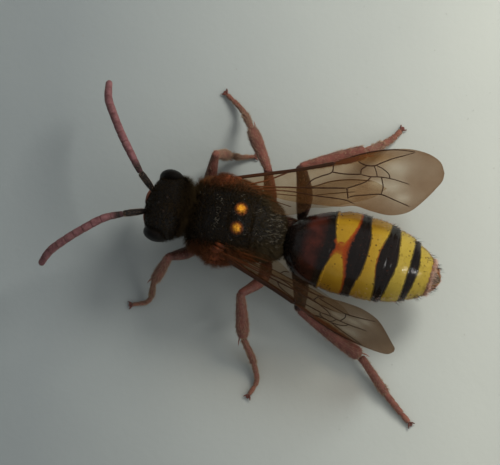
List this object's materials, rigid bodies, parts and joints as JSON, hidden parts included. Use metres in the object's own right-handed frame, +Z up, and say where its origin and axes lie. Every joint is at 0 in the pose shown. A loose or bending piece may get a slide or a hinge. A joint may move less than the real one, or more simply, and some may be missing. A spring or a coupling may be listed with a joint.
{
  "type": "nomad bee",
  "caption": "Life-size still model of a nomad bee standing with half-spread smoky wings, a black head and thorax, a red and yellow banded abdomen and red legs.",
  "frame": {"origin": "middle of the floor under the whole bee's box, feelers, wings and feet included", "axes": "+Z up from the floor, -Y towards the head, +X towards the bee's left side"},
  "size_m": [0.0116, 0.0154, 0.004],
  "materials": {
    "black_cuticle": "coarsely pitted black shell, satin, under greyish brown hair",
    "eye": "faceted, dark brown to black, glossy",
    "red_cuticle": "reddish brown shell, satin",
    "spotted_cuticle": "black shell with two round orange-yellow spots, satin",
    "banded_cuticle": "smooth shell banded dark red, black and yellow, finely pitted, glossy",
    "leg_cuticle": "dark reddish brown shell with short pale hair, satin",
    "wing_membrane": "clear membrane stained smoky brown, with dark brown veins"
  },
  "bodies": {
    "root": {"head": "black_cuticle", "pronotum": "black_cuticle", "mesothorax": "black_cuticle", "propodeum": "black_cuticle", "scape_left": "black_cuticle", "scape_right": "black_cuticle", "eye_left": "eye", "eye_right": "eye", "mandible_left": "red_cuticle", "mandible_right": "red_cuticle", "flagellum_left": "red_cuticle", "flagellum_right": "red_cuticle", "tegula_left": "red_cuticle", "tegula_right": "red_cuticle", "scutellum": "spotted_cuticle", "abdomen_1": "banded_cuticle", "abdomen_2": "banded_cuticle", "abdomen_3": "banded_cuticle", "abdomen_4": "banded_cuticle", "abdomen_5": "banded_cuticle", "abdomen_6": "banded_cuticle", "fore_left_coxa": "leg_cuticle", "fore_left_femur": "leg_cuticle", "fore_left_tibia": "leg_cuticle", "fore_left_tarsus": "leg_cuticle", "fore_right_coxa": "leg_cuticle", "fore_right_femur": "leg_cuticle", "fore_right_tibia": "leg_cuticle", "fore_right_tarsus": "leg_cuticle", "mid_left_coxa": "leg_cuticle", "mid_left_femur": "leg_cuticle", "mid_left_tibia": "leg_cuticle", "mid_left_tarsus": "leg_cuticle", "mid_right_coxa": "leg_cuticle", "mid_right_femur": "leg_cuticle", "mid_right_tibia": "leg_cuticle", "mid_right_tarsus": "leg_cuticle", "hind_left_coxa": "leg_cuticle", "hind_left_femur": "leg_cuticle", "hind_left_tibia": "leg_cuticle", "hind_left_tarsus": "leg_cuticle", "hind_right_coxa": "leg_cuticle", "hind_right_femur": "leg_cuticle", "hind_right_tibia": "leg_cuticle", "hind_right_tarsus": "leg_cuticle", "forewing_left": "wing_membrane", "forewing_right": "wing_membrane", "hindwing_left": "wing_membrane", "hindwing_right": "wing_membrane"}
  },
  "joints": []
}
